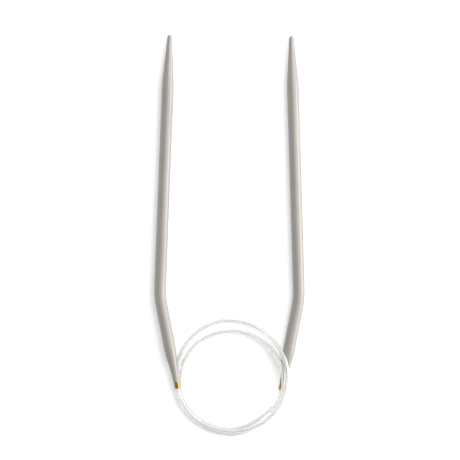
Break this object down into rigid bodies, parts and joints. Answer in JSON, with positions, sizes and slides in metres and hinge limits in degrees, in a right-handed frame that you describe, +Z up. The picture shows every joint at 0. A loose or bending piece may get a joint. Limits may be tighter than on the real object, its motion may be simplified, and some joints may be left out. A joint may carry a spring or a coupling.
{
  "type": "circular knitting needle",
  "caption": "Circular knitting needle: a bent needle at each end of one clear cord that lies in a loose coil, with brass swivel ferrules.",
  "frame": {"origin": "on the work surface, under the centre of the box of the two needles and their ferrules, without the cord", "axes": "+Y towards the points, +X towards the right needle, +Z up"},
  "size_m": [0.0572, 0.1524, 0.0058],
  "materials": {
    "shank": "satin pearl-grey coating",
    "ferrule": "polished, slightly dulled",
    "stop": "as drawn, crimped",
    "cable": "clear nylon cord"
  },
  "bodies": {
    "cable": {"cable_loop": "cable", "cable_left_end": "cable", "left_cable_stop": "stop"},
    "left_needle": {"left_shank": "shank", "left_ferrule": "ferrule"},
    "right_cable_end": {"cable_right_end": "cable", "right_cable_stop": "stop"},
    "right_needle": {"right_shank": "shank", "right_ferrule": "ferrule"}
  },
  "joints": [
    {"name": "left_swivel", "type": "hinge", "parent": "cable", "child": "left_needle", "pos_m": [-0.01966, -0.06687, 0.00278], "axis": [0.1908, -0.9816, 0.0042], "continuous": true},
    {"name": "loop_flex", "type": "hinge", "parent": "cable", "child": "right_cable_end", "pos_m": [0.00134, -0.06275, 0.00225], "axis": [0, 0, 1], "range_deg": [-20, 12], "stiffness_Nm_per_rad": 0.002, "deforming": ["cable_loop"]},
    {"name": "right_swivel", "type": "hinge", "parent": "right_cable_end", "child": "right_needle", "pos_m": [0.01964, -0.06737, 0.00225], "axis": [0.1908, 0.9816, 0], "continuous": true}
  ]
}
